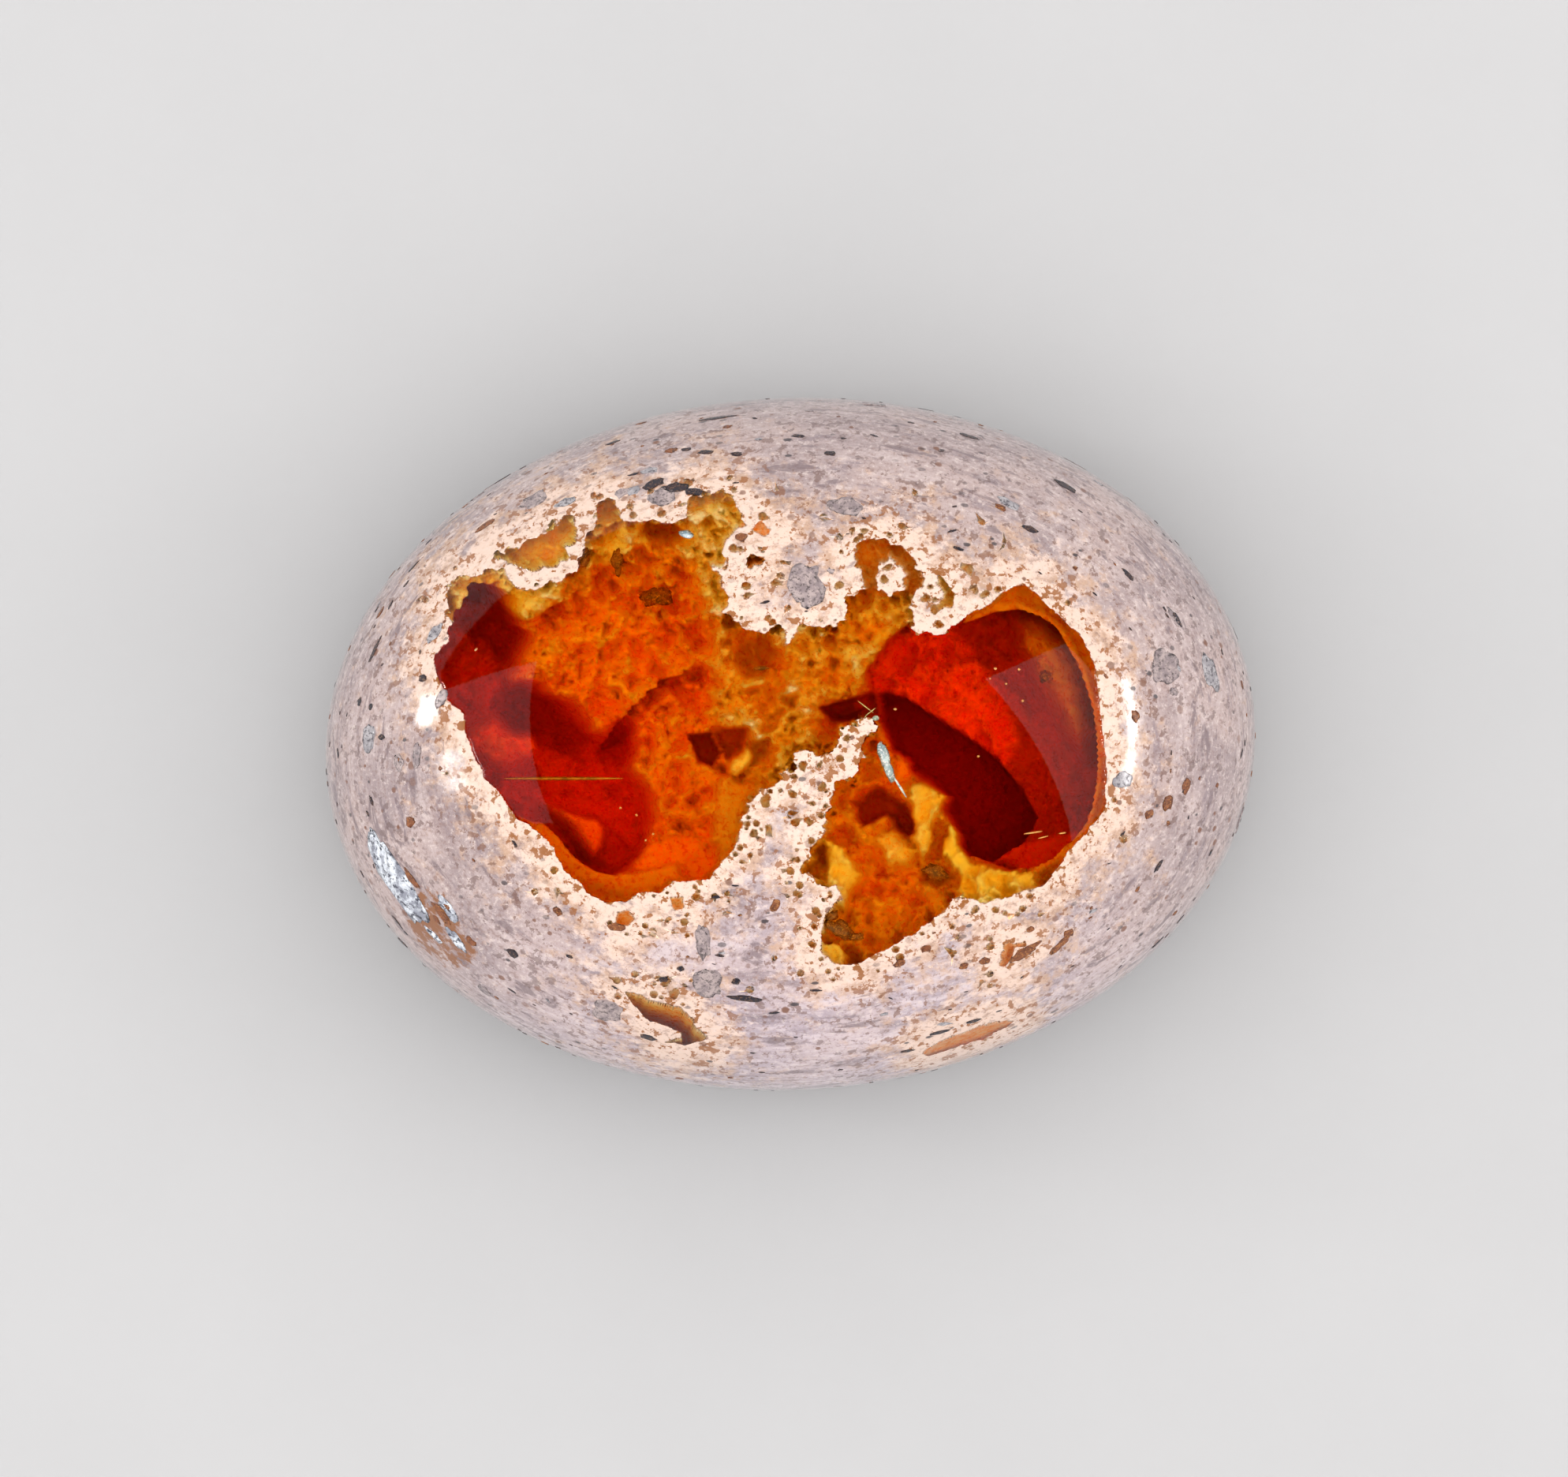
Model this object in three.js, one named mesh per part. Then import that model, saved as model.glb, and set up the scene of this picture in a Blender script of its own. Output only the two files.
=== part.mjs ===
// A polished oval stone: fire opal grown in its pale host rock, cut as one high cabochon.
// It is one natural piece. It lies on its flat back, with the long axis along +X and the dome along +Z,
// and the origin is the centre of the back. Sizes are in millimetres.
import * as THREE from "three";

const LENGTH = 24.2;
const WIDTH = 18.0;
const HEIGHT = 10.4;
const GIRDLE_HEIGHT = 3.2;       // height of the widest outline above the back
const BACK_ROUND = 2.4;          // how far the flat back's rim stands inside the outline, along X
const DOME_FULLNESS = 2.25;      // superellipse power of the dome: 2 is a plain ellipse, more is squarer
const BACK_FULLNESS = 2.0;       // the same, for the rounded edge between the back and the girdle

const BACK_STEPS = 6;            // points round the edge under the girdle
const DOME_STEPS = 15;           // points from the girdle to the crown
const OUTLINE_STEPS = 80;        // points round the oval

const HALF_LENGTH = LENGTH / 2;
const QUARTER_TURN = Math.PI / 2;

// A point on a quarter superellipse: angle 0 is its far side, a quarter turn is its top.
function quarter(angle, run, rise, power) {
  return new THREE.Vector2(
    run * Math.cos(angle) ** (2 / power),
    rise * Math.sin(angle) ** (2 / power),
  );
}

// The half section along the long axis, from the centre of the back, round the girdle, to the crown.
function halfSection() {
  const section = [new THREE.Vector2(0, 0)];
  const backRadius = HALF_LENGTH - BACK_ROUND;
  for (let step = 0; step < BACK_STEPS; step += 1) {
    const angle = QUARTER_TURN * (1 - step / BACK_STEPS);
    const edge = quarter(angle, BACK_ROUND, GIRDLE_HEIGHT, BACK_FULLNESS);
    section.push(new THREE.Vector2(backRadius + edge.x, GIRDLE_HEIGHT - edge.y));
  }
  for (let step = 0; step < DOME_STEPS; step += 1) {
    const angle = QUARTER_TURN * (step / DOME_STEPS);
    const dome = quarter(angle, HALF_LENGTH, HEIGHT - GIRDLE_HEIGHT, DOME_FULLNESS);
    section.push(new THREE.Vector2(dome.x, GIRDLE_HEIGHT + dome.y));
  }
  section.push(new THREE.Vector2(0, HEIGHT));
  return section;
}

const hostRock = new THREE.MeshStandardMaterial({ color: 0xd9c4bd, roughness: 0.16, metalness: 0 });

// The section is turned round the upright axis, then narrowed across to make the oval.
const geometry = new THREE.LatheGeometry(halfSection(), OUTLINE_STEPS);
geometry.rotateX(QUARTER_TURN);
geometry.scale(1, WIDTH / LENGTH, 1);

const stone = new THREE.Mesh(geometry, hostRock);
stone.name = "stone";

const part = new THREE.Group();
part.add(stone);

export default part;
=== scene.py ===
"""A polished oval stone of fire opal in its pale host rock, lying on its flat back under soft light."""
import math
import random

import bmesh
import bpy
import numpy as np
from mathutils import Matrix, Vector, noise


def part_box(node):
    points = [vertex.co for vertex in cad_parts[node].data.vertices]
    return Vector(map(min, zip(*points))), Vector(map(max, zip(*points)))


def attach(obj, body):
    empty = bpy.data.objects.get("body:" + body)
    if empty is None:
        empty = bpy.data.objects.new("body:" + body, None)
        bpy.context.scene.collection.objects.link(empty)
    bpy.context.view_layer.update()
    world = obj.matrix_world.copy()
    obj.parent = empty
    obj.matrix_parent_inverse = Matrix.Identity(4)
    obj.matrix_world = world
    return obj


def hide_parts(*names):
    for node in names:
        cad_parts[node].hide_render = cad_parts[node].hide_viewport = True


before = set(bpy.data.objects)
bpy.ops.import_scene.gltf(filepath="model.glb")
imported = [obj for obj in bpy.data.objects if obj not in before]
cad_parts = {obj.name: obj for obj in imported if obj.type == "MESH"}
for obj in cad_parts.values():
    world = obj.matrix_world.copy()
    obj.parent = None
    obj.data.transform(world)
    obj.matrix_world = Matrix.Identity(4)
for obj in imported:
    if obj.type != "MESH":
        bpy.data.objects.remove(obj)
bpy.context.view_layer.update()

# Sizes. The stone is shaped in millimetres and scaled to metres when each piece is finished.
MM = 0.001
HIGH = Vector(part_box("stone")[1]) / MM
HALF_LENGTH = HIGH.x
HALF_WIDTH = HIGH.y
HEIGHT = HIGH.z
GIRDLE_HEIGHT = 3.2              # height of the widest outline above the back
BACK_ROUND = 2.4                 # how far the flat back's rim stands inside the outline, along X
DOME_FULLNESS = 2.25             # superellipse power of the dome
DOME_RISE = HEIGHT - GIRDLE_HEIGHT
BACK_REACH = 1 - BACK_ROUND / HALF_LENGTH

ROCK_SPACING = 0.36              # mesh spacing on the polished rock
BACK_SPACING = 0.9               # on the flat back
FLOOR_SPACING = 0.115            # on the floors of the pockets
EDGE_SPACING = 0.068             # along the edge between rock and opal
REFINING_STEPS = 6               # how many times the meshes are made finer
EDGE_BAND = 0.2                  # how far that finer mesh reaches from the edge of a window
PORE_BAND = 0.05                 # and from the edge of a pore
SPACING_GROWTH = 0.6             # how fast the spacing grows beyond that
OPAL_SPACING = 0.4               # on the opal's polished face

WALL_WIDTH = 0.2                 # how wide a pocket's wall is, seen from above
OPAL_MARGIN = 0.12               # how far the opal reaches into the rock round each pocket
OPAL_DIP = 0.06                  # how far it sinks under the rock's face there
OPAL_BEDDING = 0.5               # how far it reaches below the floor of a pocket
GRAIN_PROUD = 0.012              # how far a flush grain stands out of the polish
SHALLOWEST = 0.15                # the least depth of a pocket
OUTSIDE = -9.0                   # stands for the distance into a window or pore under the girdle

PORE_DEPTH = 0.24
PORE_LIP = 0.05                  # how wide a pore's wall is
PORE_MARGIN = 0.04               # how far the opal reaches into the rock round a pore
PORE_BED = 0.4                   # how thick the opal is there
PORE_PALENESS = 0.6
PORE_CRUST = -0.45               # rusty
PORE_CALM = 3                    # a pore's outline is pushed about by a third of a window's

STAIN_FADE = 1.2                 # how far from the opal the rock's warm stain fades
STAIN_TOP = 5.0                  # it fades downward too, from this height
STAIN_FALL = 0.6                 # and each mm down counts for this much

# Where the opal shows: outlines in millimetres on the stone's plan, X along it and Y across.
MAIN_WINDOW = [
    (-9.0, 2.7), (-8.6, 3.1), (-8.5, 3.6), (-8.65, 4.0), (-8.6, 4.5), (-8.2, 4.75), (-7.8, 4.8),
    (-7.1, 4.75), (-6.9, 4.45), (-6.4, 4.3), (-6.0, 4.4), (-5.5, 4.55), (-5.2, 4.75), (-5.0, 5.2),
    (-4.85, 5.5), (-4.75, 5.9), (-4.65, 6.3), (-4.4, 6.45), (-4.1, 6.3), (-4.1, 6.0), (-3.8, 5.85),
    (-3.3, 5.85), (-2.7, 5.8), (-2.4, 6.1), (-2.2, 6.45), (-1.7, 6.6), (-1.25, 6.45), (-0.95, 6.05),
    (-1.0, 5.65), (-1.5, 5.3), (-1.4, 4.8), (-1.75, 4.6), (-1.4, 3.95), (-1.5, 3.4), (-1.1, 3.0),
    (-0.5, 2.95), (-0.1, 3.0), (0.05, 2.6), (0.2, 2.9), (0.6, 2.95), (0.95, 2.75), (1.1, 3.0),
    (1.35, 3.1), (1.6, 3.4), (1.65, 3.75), (2.05, 3.8), (2.05, 4.2), (1.9, 4.45), (1.8, 4.8),
    (2.05, 5.05), (2.6, 5.15), (3.05, 4.95), (3.4, 4.6), (3.55, 4.2), (3.45, 3.8), (3.2, 3.3),
    (3.3, 3.05), (3.15, 2.7), (3.45, 2.6), (3.95, 2.6), (4.35, 2.8), (4.85, 3.1), (5.4, 3.4),
    (5.9, 3.75), (6.2, 3.75), (6.6, 3.35), (7.05, 2.9), (7.5, 2.45), (7.75, 1.95), (7.9, 1.2),
    (7.95, 0.4), (8.0, -0.5), (8.0, -1.5), (7.95, -2.05), (7.5, -2.6), (7.0, -3.05), (6.5, -3.7),
    (6.2, -3.95), (5.5, -4.1), (4.85, -4.3), (4.3, -4.15), (3.95, -4.25), (3.45, -4.65),
    (2.75, -5.0), (2.1, -5.4), (1.4, -5.7), (0.85, -5.65), (0.5, -5.35), (0.55, -4.8), (0.7, -4.35),
    (1.15, -4.0), (0.95, -3.65), (0.5, -3.5), (0.1, -3.3), (0.35, -2.85), (0.75, -2.2),
    (0.9, -1.65), (1.05, -1.0), (1.5, -1.0), (1.65, -0.65), (1.8, -0.4), (2.0, 0.1), (2.25, 0.45),
    (1.95, 0.55), (1.6, 0.4), (1.25, 0.3), (1.15, -0.1), (0.9, -0.35), (0.4, -0.25), (0.2, -0.2),
    (0.0, -0.65), (-0.55, -1.05), (-0.75, -1.1), (-1.15, -1.5), (-1.4, -2.05), (-1.5, -2.45),
    (-1.95, -2.95), (-2.25, -3.35), (-2.8, -3.35), (-3.2, -3.35), (-3.5, -3.6), (-4.1, -3.6),
    (-4.4, -3.8), (-4.95, -3.8), (-5.4, -3.55), (-5.5, -3.3), (-5.9, -2.95), (-6.15, -2.4),
    (-6.6, -1.85), (-7.05, -1.55), (-7.45, -0.9), (-7.8, -0.5), (-8.1, 0.15), (-8.25, 0.7),
    (-8.3, 1.15), (-8.7, 1.6), (-8.95, 2.2),
]
ROCK_ISLAND = [
    (2.35, 4.2), (2.45, 4.5), (2.75, 4.6), (3.05, 4.4), (3.15, 4.1), (3.0, 3.8), (2.7, 3.65), (2.4, 3.8),
]
# The smaller windows: outline, depth of the floor, and how rusty its lining is (ochre, below 0).
SMALL_WINDOWS = [
    ([(-7.5, 5.25), (-6.8, 4.98), (-6.25, 4.8), (-5.9, 4.8), (-5.55, 5.0), (-5.38, 5.3), (-5.2, 5.65),
      (-5.25, 6.1), (-5.45, 6.15), (-5.8, 5.9), (-6.0, 5.75), (-6.4, 5.65), (-6.55, 5.45),
      (-6.8, 5.35), (-7.2, 5.35)], 1.0, -0.5),
    ([(3.9, 4.1), (4.2, 3.9), (4.35, 3.5), (4.25, 3.2), (4.05, 3.3), (4.1, 3.6), (3.95, 3.85)], 0.8, 0.2),
    ([(-0.85, 4.82), (-0.45, 4.85), (-0.6, 4.48)], 1.3, 1.0),
    ([(-0.8, 5.5), (-0.45, 5.65), (-0.2, 5.5), (-0.5, 5.4)], 0.35, 1.0),
    ([(-4.6, -6.15), (-4.3, -6.2), (-4.0, -6.35), (-3.4, -6.5), (-3.1, -6.65), (-2.85, -6.95),
      (-2.8, -7.2), (-2.5, -7.4), (-2.7, -7.5), (-3.1, -7.6), (-3.6, -7.5), (-3.2, -7.4),
      (-3.15, -7.25), (-3.4, -7.1), (-3.75, -7.0), (-4.0, -6.95), (-4.15, -6.7), (-4.4, -6.4)], 2.1, 0.2),
    ([(3.0, -8.15), (3.3, -7.9), (3.75, -7.75), (4.2, -7.6), (4.5, -7.5), (5.05, -7.4), (5.4, -7.4),
      (5.2, -7.55), (4.8, -7.75), (4.45, -7.9), (3.95, -8.0), (3.5, -8.15), (3.15, -8.25)], 0.9, 0.8),
    ([(5.0, -5.95), (5.15, -5.7), (5.2, -5.35), (5.5, -5.42), (5.8, -5.35), (5.75, -5.5),
      (5.45, -5.5), (5.4, -5.75), (5.2, -5.95)], 0.5, 0.9),
    ([(-4.65, -4.1), (-4.35, -4.05), (-4.2, -4.25), (-4.4, -4.4), (-4.65, -4.35)], 0.45, 0.9),
    ([(-3.25, -3.75), (-2.95, -3.75), (-2.95, -4.0), (-3.2, -4.1)], 0.4, 0.6),
]

# The floors of the pockets under the opal, laid one over another. Each has its depth and the width of
# the slope into it in mm, how pale its lining is (lower for the lining's own brown patches and, under the
# deepest red and maroon opal, as painted shade for the light lost there), its ochre crust (or rust, below
# 0), its lumps in mm, how ragged its edge is in mm, and its outline. Shallow opal is yellow, deeper opal
# orange, then red.
FLOORS = [
    # The left pocket.
    (1.0, 0.5, 0.95, 0.2, 0.4, 0.15, [(-5.1, 4.6), (-4.9, 5.3), (-4.8, 6.7), (-4.0, 6.7), (-2.4, 6.1),
     (-2.3, 6.9), (-0.7, 6.9), (-0.7, 5.6), (-1.2, 4.4), (-1.3, 3.2), (-1.9, 3.3), (-2.4, 4.6),
     (-3.2, 5.2), (-4.2, 4.6)]),
    (1.8, 0.3, 0.5, 0.0, 0.1, 0.1, [(-3.4, 5.7), (-2.8, 5.6), (-2.4, 5.3), (-2.8, 5.1), (-3.3, 5.3)]),
    (0.8, 0.3, 1.0, 0.4, 0.35, 0.25, [(-8.9, 5.0), (-7.0, 4.9), (-6.4, 4.5), (-5.5, 4.4), (-5.5, 3.9),
     (-6.3, 3.5), (-6.9, 3.2), (-7.2, 4.2), (-7.9, 4.3), (-8.2, 3.4), (-8.8, 3.3)]),
    # The deep left pocket: its dark linings are painted shade for the light that the deep opal loses.
    (3.8, 0.45, 0.62, 0.0, 0.15, 0.12, [(-9.5, 2.6), (-8.6, 3.3), (-8.05, 3.85), (-7.8, 4.25), (-7.3, 4.3),
     (-7.05, 3.7), (-6.8, 3.25), (-6.4, 2.95), (-6.85, 2.1), (-6.75, 1.65), (-6.3, 1.75),
     (-5.95, 1.4), (-5.4, 1.05), (-4.95, 0.5), (-4.5, 0.4), (-4.0, 0.75), (-3.9, 0.1), (-4.1, -0.4),
     (-3.7, -0.9), (-3.6, -1.6), (-3.8, -2.4), (-4.6, -3.0), (-5.4, -2.7), (-6.0, -2.2),
     (-6.6, -1.6), (-7.6, -0.8), (-8.5, 0.5), (-9.3, 1.8)]),
    (4.3, 0.6, 0.3, 0.0, 0.12, 0.15, [(-7.5, 4.2), (-7.0, 3.9), (-6.5, 2.9), (-6.9, 2.3), (-7.4, 2.8),
     (-7.7, 3.6)]),
    (4.3, 0.8, 0.22, 0.0, 0.12, 0.15, [(-6.6, 1.7), (-5.9, 1.4), (-5.3, 0.9), (-4.9, 0.3), (-5.1, -0.1),
     (-5.9, 0.2), (-6.6, 0.5), (-7.0, 1.2)]),
    (2.8, 0.5, 0.9, 0.0, 0.15, 0.15, [(-8.0, 0.7), (-7.2, 0.9), (-6.4, 0.5), (-6.2, 0.0), (-6.9, -0.3),
     (-7.6, -0.2)]),
    (3.7, 0.5, 0.75, 0.0, 0.08, 0.05, [(-6.0, -1.0), (-5.2, -0.9), (-4.2, -1.3), (-3.9, -2.0),
     (-4.2, -2.7), (-5.0, -2.5), (-5.8, -1.9)]),
    (2.3, 0.25, 1.0, 0.0, 0.05, 0.03, [(-6.15, -1.1), (-5.4, -1.4), (-4.85, -1.55), (-4.65, -1.8),
     (-4.75, -2.2), (-5.0, -2.5), (-5.25, -2.2), (-5.5, -1.75)]),
    (1.4, 0.2, 0.75, 0.0, 0.05, 0.05, [(-7.0, -1.3), (-6.2, -1.75), (-5.6, -2.5), (-4.9, -3.0),
     (-4.0, -3.1), (-3.0, -2.95), (-2.0, -2.9), (-1.9, -3.5), (-3.2, -3.9), (-4.9, -4.3), (-6.0, -3.4)]),
    (1.8, 0.08, 1.0, 0.0, 0.04, 0.0, [(-3.7, -2.3), (-3.2, -2.15), (-2.6, -2.1), (-1.95, -2.8),
     (-2.4, -3.2), (-3.4, -3.0), (-4.1, -2.9)]),
    (1.05, 0.3, 0.7, 0.0, 0.08, 0.05, [(-1.9, -0.7), (-1.0, -0.9), (-0.5, -0.9), (-1.4, -2.1),
     (-1.9, -3.1), (-2.1, -2.0)]),
    # The bridge between the pockets, and the round pocket above it.
    (1.2, 0.6, 0.92, 0.1, 0.42, 0.2, [(-1.9, 3.2), (-1.4, 3.2), (0.2, 3.1), (1.5, 3.4), (1.7, 4.0),
     (3.4, 3.9), (3.2, 2.9), (2.6, 2.3), (2.0, 1.6), (1.2, 0.95), (1.2, 0.3), (0.4, -0.3),
     (-0.6, -1.1), (-1.2, -0.7), (-1.9, 0.5), (-2.0, 1.8)]),
    (1.6, 0.35, 0.4, 0.0, 0.12, 0.15, [(-1.1, 2.7), (-0.6, 2.85), (-0.2, 2.3), (-0.4, 1.8), (-1.0, 1.75),
     (-1.35, 2.2)]),
    (2.9, 0.1, 0.4, 0.0, 0.05, 0.03, [(-2.55, 0.35), (-2.0, 0.4), (-1.75, -0.1), (-2.0, -0.45),
     (-2.35, -0.3)]),
    (2.3, 0.2, 0.4, 0.0, 0.08, 0.1, [(-2.0, 0.4), (-1.0, 0.45), (-1.15, -0.05), (-1.6, -0.2)]),
    (0.5, 0.12, 1.0, 0.5, 0.1, 0.05, [(-1.5, -0.3), (-1.0, -0.05), (-0.9, -0.3), (-1.4, -0.75),
     (-1.6, -0.6)]),
    (1.4, 0.2, 0.3, 0.0, 0.08, 0.08, [(-1.0, 0.1), (-0.5, 0.15), (-0.6, -0.2), (-1.2, -0.75),
     (-0.95, -0.25)]),
    (0.75, 0.3, 0.8, -0.75, 0.1, 0.1, [(1.8, 4.1), (1.7, 5.2), (2.6, 5.4), (3.7, 4.6), (3.6, 3.7),
     (3.2, 3.6), (2.4, 3.6)]),
    (3.5, 0.15, 0.3, 0.0, 0.08, 0.06, [(0.8, 0.85), (1.4, 1.0), (2.2, 1.2), (2.6, 0.9), (2.3, 0.5),
     (1.6, 0.5), (1.1, 0.5)]),
    # The right pocket: its outer shelf, the deep middle, and the crusts along its foot.
    (1.2, 0.3, 0.9, -0.25, 0.06, 0.05, [(4.2, 2.6), (5.9, 4.4), (8.4, 2.6), (8.5, -2.4), (6.8, -3.7),
     (6.0, -3.4), (5.0, -3.0), (4.0, 0.0)]),
    (3.4, 0.12, 0.3, 0.0, 0.12, 0.0, [(2.0, 1.7), (2.6, 2.4), (3.2, 2.9), (3.9, 2.8), (4.6, 2.75),
     (5.3, 2.95), (5.9, 3.0), (6.5, 2.8), (7.0, 2.35), (7.35, 1.7), (7.6, 0.9), (7.7, 0.0),
     (7.7, -1.0), (7.6, -1.9), (7.2, -2.6), (6.6, -3.1), (6.0, -3.3), (5.2, -3.25), (4.6, -3.0),
     (4.1, -2.7), (3.9, -2.0), (3.4, -1.3), (2.7, -0.7), (2.4, 0.1), (2.1, 0.8)]),
    (3.3, 0.3, 1.0, 0.0, 0.3, 0.05, [(2.0, 1.6), (2.8, 2.5), (4.0, 2.6), (4.6, 1.9), (5.2, 0.9),
     (5.6, -0.2), (5.2, -0.7), (4.4, -0.15), (3.6, 0.4), (2.9, 0.85), (2.2, 1.15)]),
    # The maroon middle: its near-black lining is painted shade for the light lost through the deep opal.
    (4.8, 0.1, 0.16, 0.0, 0.05, 0.0, [(2.3, 1.1), (2.9, 0.95), (3.6, 0.45), (4.4, -0.1), (5.0, -0.6),
     (5.6, -1.4), (5.9, -2.0), (5.6, -2.5), (5.0, -2.95), (4.3, -2.95), (3.9, -2.1), (3.3, -1.2),
     (2.7, -0.6), (2.4, 0.3)]),
    (3.2, 0.12, 0.8, 0.0, 0.04, 0.0, [(4.8, -2.95), (5.3, -2.65), (6.0, -2.55), (6.9, -2.4), (6.9, -2.9),
     (6.2, -3.25), (5.4, -3.2)]),
    (1.5, 0.9, 0.38, -0.1, 0.12, 0.05, [(5.8, 2.75), (6.5, 2.7), (7.0, 2.3), (7.3, 1.6), (7.45, 0.8),
     (7.5, 0.0), (7.2, -0.5), (6.7, 0.2), (6.2, 1.2), (5.7, 2.0)]),
    (0.7, 0.2, 1.0, 0.75, 0.25, 0.15, [(4.0, -3.0), (4.6, -3.25), (5.4, -3.4), (6.0, -3.5), (6.3, -4.0),
     (5.6, -4.5), (4.6, -4.6), (3.9, -4.5), (3.8, -3.6)]),
    (1.6, 0.4, 0.9, 0.05, 0.3, 0.15, [(0.9, -0.8), (2.6, -0.5), (3.6, -1.3), (4.0, -2.4), (4.0, -4.3),
     (3.3, -4.9), (1.6, -5.9), (0.3, -5.9), (0.3, -3.0), (0.9, -1.6)]),
    (0.6, 0.15, 1.0, 0.6, 0.15, 0.15, [(2.95, -1.25), (3.3, -1.15), (3.9, -1.4), (3.6, -1.8),
     (3.5, -2.1), (3.35, -2.8), (3.05, -3.1), (2.95, -2.3)]),
    (0.5, 0.12, 1.0, 1.0, 0.12, 0.12, [(3.9, -2.1), (4.1, -2.3), (4.15, -2.9), (4.5, -3.3), (4.1, -3.5),
     (3.8, -3.2), (3.7, -2.8)]),
    (0.55, 0.15, 1.0, 0.7, 0.12, 0.12, [(0.8, -2.5), (1.2, -2.6), (1.4, -3.1), (1.65, -3.4), (1.3, -3.8),
     (1.2, -4.2), (0.9, -3.9), (0.7, -3.2)]),
    (0.6, 0.15, 1.0, 0.6, 0.15, 0.12, [(0.3, -5.1), (0.8, -5.0), (1.2, -5.4), (1.0, -5.8), (0.3, -5.8)]),
    (0.75, 0.2, 1.0, 0.3, 0.15, 0.12, [(2.1, -2.5), (2.6, -2.25), (3.0, -2.7), (2.9, -3.2), (2.3, -3.2)]),
    (1.6, 0.2, 0.2, 0.0, 0.1, 0.1, [(3.1, -3.3), (3.6, -3.2), (3.9, -3.5), (3.5, -3.75), (3.1, -3.6)]),
    (2.8, 0.25, 0.5, 0.0, 0.1, 0.1, [(1.5, -1.5), (2.2, -1.2), (2.8, -1.6), (3.0, -2.3), (2.6, -2.3),
     (2.3, -1.9), (1.7, -2.1)]),
    (1.6, 0.08, 1.0, 0.0, 0.05, 0.05, [(2.6, -0.3), (2.95, -0.6), (3.0, -1.15), (2.65, -0.95)]),
]
BASE_FLOOR = (1.85, 1.0, 0.0, 0.42)      # depth, lining lightness (lowered elsewhere as painted shade), crust and lumpiness where no other floor is laid

# Crisp steps in the floor: the line of the step, how far it drops on its left, and how soon that fades.
LEDGES = [
    ([(-2.72, 1.85), (-3.2, 1.65), (-3.7, 1.3), (-4.1, 0.9), (-4.4, 0.5)], 1.3, 0.9),
]

# Pale rims standing up from the floor: the line of the rim, its depth under the dome, and its half width.
RIMS = [
    ([(5.95, 3.15), (6.5, 2.9), (6.9, 2.6), (7.2, 2.0), (7.4, 1.6), (7.55, 1.1),
      (7.7, 0.5), (7.75, -0.1), (7.75, -0.8), (7.7, -1.3), (7.55, -1.95), (7.3, -2.5), (6.9, -2.85),
      (6.5, -3.2), (6.05, -3.4)], 1.0, 0.1),
    ([(-6.35, -1.75), (-6.0, -2.1), (-5.75, -2.5), (-5.45, -2.8), (-5.05, -3.05), (-4.55, -3.15),
      (-4.0, -3.25), (-3.6, -3.1), (-3.1, -3.0)], 1.35, 0.18),
]


# Plan arithmetic: arrays of spots in mm.
def smooth_step(value):
    """An S-shaped rise from 0 to 1 as the value goes from 0 to 1."""
    value = np.clip(value, 0.0, 1.0)
    return value * value * (3 - 2 * value)


def line_distance(line, x, y):
    """The distance from each spot to an open line, and which side it lies on: positive is right."""
    nearest = np.full(len(x), 1e9)
    side = np.zeros(len(x))
    for (ax, ay), (bx, by) in zip(line, line[1:]):
        dx, dy = bx - ax, by - ay
        along = np.clip(((x - ax) * dx + (y - ay) * dy) / (dx * dx + dy * dy), 0.0, 1.0)
        off_x, off_y = x - ax - along * dx, y - ay - along * dy
        distance = np.hypot(off_x, off_y)
        closer = distance < nearest
        nearest = np.where(closer, distance, nearest)
        side = np.where(closer, np.sign(off_x * dy - off_y * dx), side)
    return nearest, side


def inward(outline, x, y):
    """How far each spot lies inside a closed outline; negative outside it."""
    nearest = np.full(len(x), 1e9)
    inside = np.zeros(len(x), dtype=bool)
    for (ax, ay), (bx, by) in zip(outline, outline[1:] + outline[:1]):
        dx, dy = bx - ax, by - ay
        along = np.clip(((x - ax) * dx + (y - ay) * dy) / (dx * dx + dy * dy), 0.0, 1.0)
        nearest = np.minimum(nearest, np.hypot(x - ax - along * dx, y - ay - along * dy))
        if dy:
            inside ^= ((ay > y) != (by > y)) & (x < ax + (y - ay) * dx / dy)
    return np.where(inside, nearest, -nearest)


def lumps(x, y, size, octaves, seed):
    """Fractal noise, about -1 to 1, with its largest lumps about as big as size in mm."""
    spots = zip((x / size + seed).tolist(), (y / size - seed).tolist())
    return np.array([noise.fractal(Vector((a, b, seed)), 0.85, 2.1, octaves) for a, b in spots])


def scatter_pores(count, x_range, y_range, seed):
    """Opal-filled pores in the rock beside the windows: (x, y, radius)."""
    draw = random.Random(seed)
    x, y, radius = (np.array([draw.uniform(low, high) for _ in range(count)])
                    for low, high in (x_range, y_range, (0.045, 0.11)))
    gap = -window_distance(x, y)
    chance = np.array([draw.random() for _ in range(count)])
    crowding = np.where((x > -4.8) & (x < 6.0), 1.0, 0.2) * np.exp(-gap / 0.42)
    kept = (gap > radius + 0.05) & (chance < crowding)
    return list(zip(x[kept], y[kept], radius[kept]))


def window_distance(x, y):
    """How far each spot lies inside the nearest opal window, before its edge is roughened."""
    distance = np.minimum(inward(MAIN_WINDOW, x, y), -inward(ROCK_ISLAND, x, y))
    for outline, _depth, _rust in SMALL_WINDOWS:
        distance = np.maximum(distance, inward(outline, x, y))
    return distance


def pore_distance(x, y):
    """How far each spot lies inside the nearest pore."""
    distance = np.full(len(x), -1e9)
    for px, py, radius in PORES:
        distance = np.maximum(distance, radius - np.hypot(x - px, y - py))
    return distance


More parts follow.
